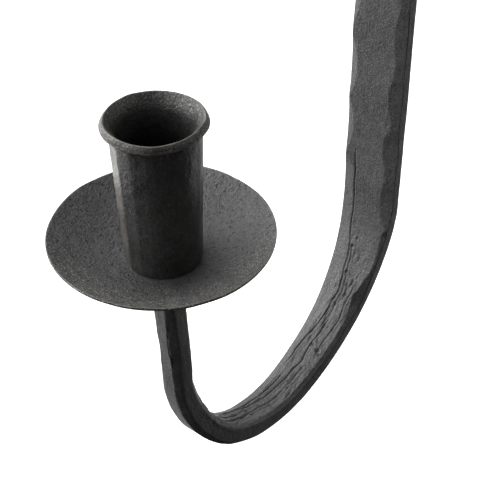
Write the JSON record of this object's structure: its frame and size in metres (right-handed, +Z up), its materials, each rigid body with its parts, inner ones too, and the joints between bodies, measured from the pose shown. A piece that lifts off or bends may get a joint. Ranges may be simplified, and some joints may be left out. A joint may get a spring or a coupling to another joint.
{
  "type": "wall sconce candle holder",
  "caption": "Blackened forged-iron wall sconce: a flat strap on the wall sweeps into a tapered J arm that carries a dished drip pan and a tall flared candle cup.",
  "frame": {"origin": "on the wall plane, midway between the two wall screw holes", "axes": "+Z up along the strap, +Y into the wall, -Y towards the room and the candle cup"},
  "size_m": [0.072, 0.1575, 0.3776],
  "materials": {
    "forged_iron": "hammered, blackened and waxed, low sheen",
    "sheet_iron": "blackened, finely pitted, low sheen",
    "cup_iron": "blackened and waxed, low sheen",
    "screw_steel": "blackened steel"
  },
  "bodies": {
    "root": {"forged_arm": "forged_iron", "drip_pan": "sheet_iron", "candle_cup": "cup_iron", "cup_base_disc": "cup_iron", "cup_spring_washer": "screw_steel", "cup_screw": "screw_steel"}
  },
  "joints": []
}
